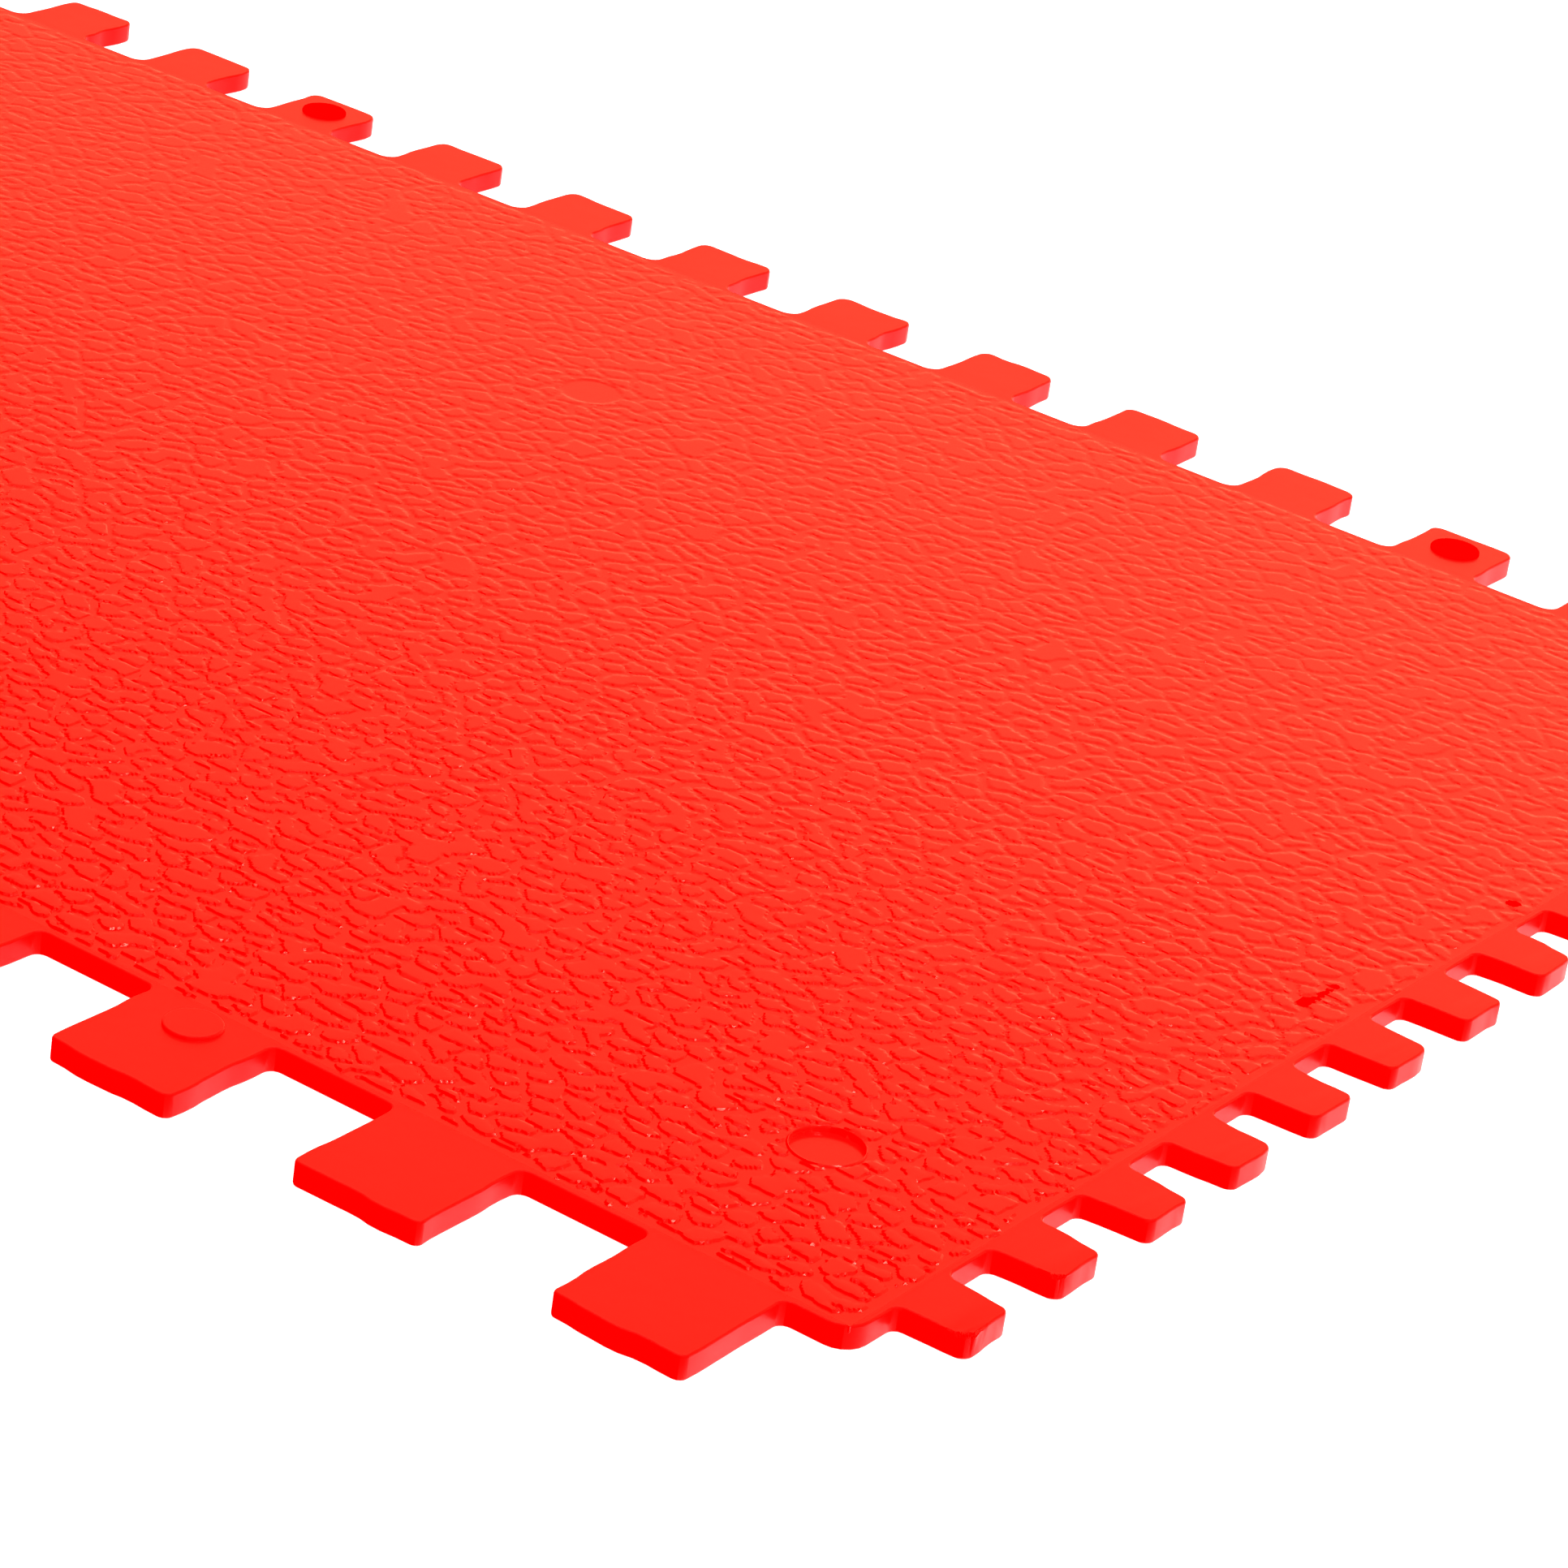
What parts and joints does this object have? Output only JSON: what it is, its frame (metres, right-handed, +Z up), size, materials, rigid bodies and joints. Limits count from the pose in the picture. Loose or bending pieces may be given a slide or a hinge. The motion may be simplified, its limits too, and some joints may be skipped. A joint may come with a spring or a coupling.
{
  "type": "notched spreader",
  "caption": "Flat handheld plastic adhesive spreader: thin rectangular plate with coarse, medium and fine square-notched combs on three sides and one smooth side",
  "frame": {"origin": "On the underside, below the middle of the outline over the tooth tips.", "axes": "+X runs along the long sides towards the fine comb, +Y runs from the coarse comb to the medium comb, +Z points up out of the grained face."},
  "size_m": [0.244, 0.12, 0.0014],
  "materials": {
    "red_plastic": "satin moulded plastic, pebble grain on the upper face of the panel, smooth margins and teeth"
  },
  "bodies": {
    "root": {"panel": "red_plastic", "tooth_8mm_01": "red_plastic", "tooth_8mm_02": "red_plastic", "tooth_8mm_03": "red_plastic", "tooth_8mm_04": "red_plastic", "tooth_8mm_05": "red_plastic", "tooth_8mm_06": "red_plastic", "tooth_8mm_07": "red_plastic", "tooth_8mm_08": "red_plastic", "tooth_8mm_09": "red_plastic", "tooth_8mm_10": "red_plastic", "tooth_8mm_11": "red_plastic", "tooth_8mm_12": "red_plastic", "tooth_8mm_13": "red_plastic", "tooth_8mm_14": "red_plastic", "tooth_8mm_15": "red_plastic", "tooth_6mm_01": "red_plastic", "tooth_6mm_02": "red_plastic", "tooth_6mm_03": "red_plastic", "tooth_6mm_04": "red_plastic", "tooth_6mm_05": "red_plastic", "tooth_6mm_06": "red_plastic", "tooth_6mm_07": "red_plastic", "tooth_6mm_08": "red_plastic", "tooth_6mm_09": "red_plastic", "tooth_6mm_10": "red_plastic", "tooth_6mm_11": "red_plastic", "tooth_6mm_12": "red_plastic", "tooth_6mm_13": "red_plastic", "tooth_6mm_14": "red_plastic", "tooth_6mm_15": "red_plastic", "tooth_6mm_16": "red_plastic", "tooth_6mm_17": "red_plastic", "tooth_6mm_18": "red_plastic", "tooth_6mm_19": "red_plastic", "tooth_6mm_20": "red_plastic", "tooth_4mm_01": "red_plastic", "tooth_4mm_02": "red_plastic", "tooth_4mm_03": "red_plastic", "tooth_4mm_04": "red_plastic", "tooth_4mm_05": "red_plastic", "tooth_4mm_06": "red_plastic", "tooth_4mm_07": "red_plastic", "tooth_4mm_08": "red_plastic", "tooth_4mm_09": "red_plastic", "tooth_4mm_10": "red_plastic", "tooth_4mm_11": "red_plastic", "tooth_4mm_12": "red_plastic", "tooth_4mm_13": "red_plastic"}
  },
  "joints": []
}
